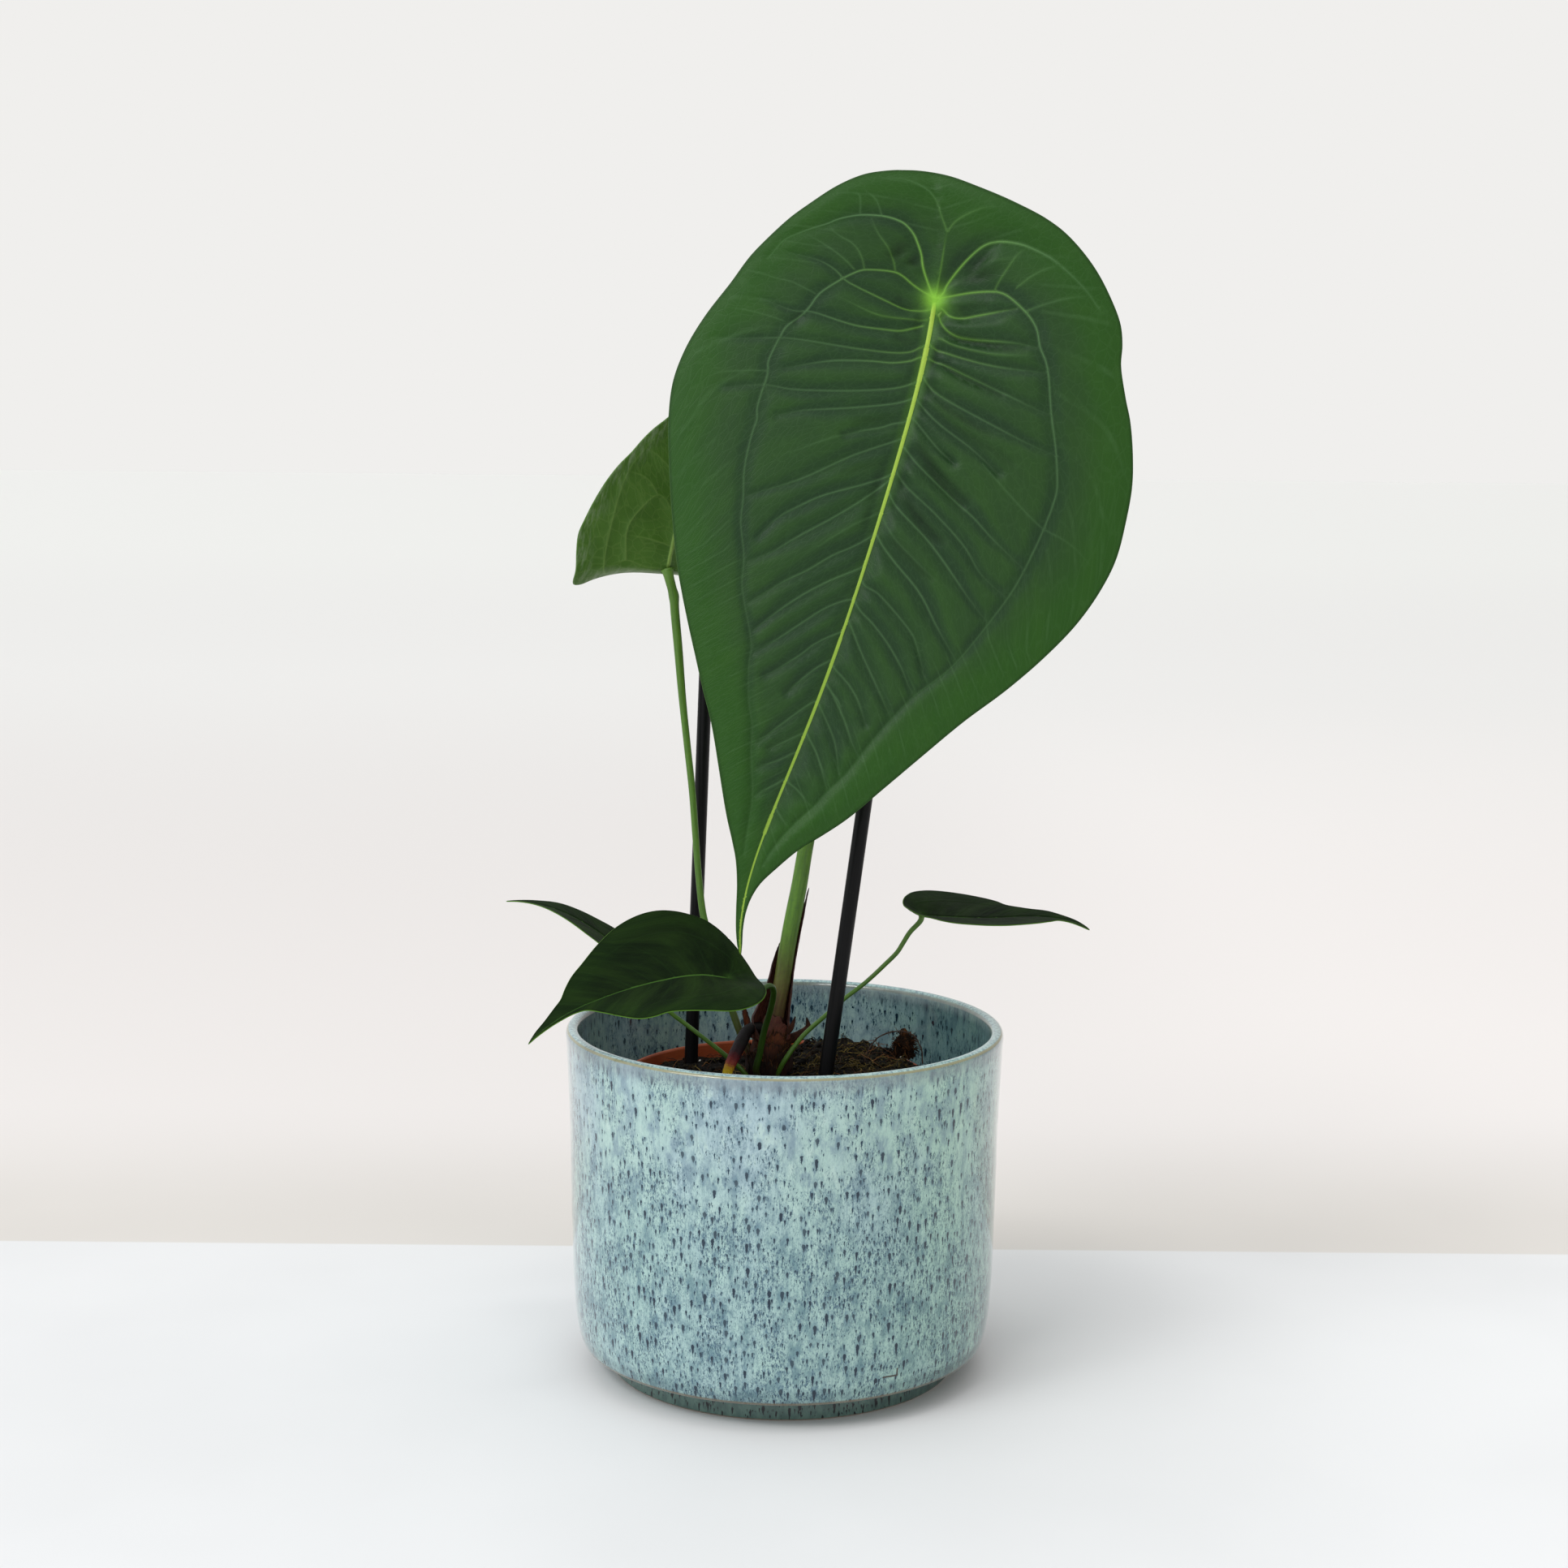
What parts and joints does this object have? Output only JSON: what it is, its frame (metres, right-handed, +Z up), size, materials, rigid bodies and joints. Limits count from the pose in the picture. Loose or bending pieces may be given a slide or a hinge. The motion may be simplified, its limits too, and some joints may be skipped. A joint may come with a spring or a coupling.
{
  "type": "potted anthurium peltigerum",
  "caption": "Climbing aroid with shield-shaped peltate leaves on thin petioles, held by round supports, in a plastic nursery pot inside a speckled glazed cover pot.",
  "frame": {"origin": "centre of the cover pot's flat foot, on the surface it stands on", "axes": "+Z up, -Y towards the side the largest leaf faces, +X to the right seen from there"},
  "size_m": [0.2391, 0.17, 0.4587],
  "materials": {
    "glaze": "glossy pale blue-green reactive glaze with dark blue specks",
    "nursery_plastic": "satin terracotta-coloured plastic",
    "mix": "dark damp potting mix with fibres and moss",
    "coir": "rough brown fibre",
    "dry_sheath": "dry brown papery and fibrous sheath",
    "petiole": "smooth satin green, brown at the base",
    "leaf": "satin dark green with paler sunken veins, lighter below",
    "root": "smooth dark purple to red with a pale tip",
    "stake_plastic": "satin black"
  },
  "bodies": {
    "root": {"cover_pot": "glaze", "nursery_pot": "nursery_plastic", "potting_mix": "mix", "coir_chunk": "coir", "root_fibre": "coir", "crown": "dry_sheath", "petiole_1": "petiole", "petiole_2": "petiole", "petiole_3": "petiole", "petiole_4": "petiole", "petiole_5": "petiole", "leaf_blade_1": "leaf", "leaf_blade_2": "leaf", "leaf_blade_3": "leaf", "leaf_blade_4": "leaf", "leaf_blade_5": "leaf", "cataphyll_tall": "dry_sheath", "old_sheath": "dry_sheath", "scale_hooked": "dry_sheath", "scale_small": "dry_sheath", "aerial_root": "root", "stake_left": "stake_plastic", "stake_right": "stake_plastic"}
  },
  "joints": []
}
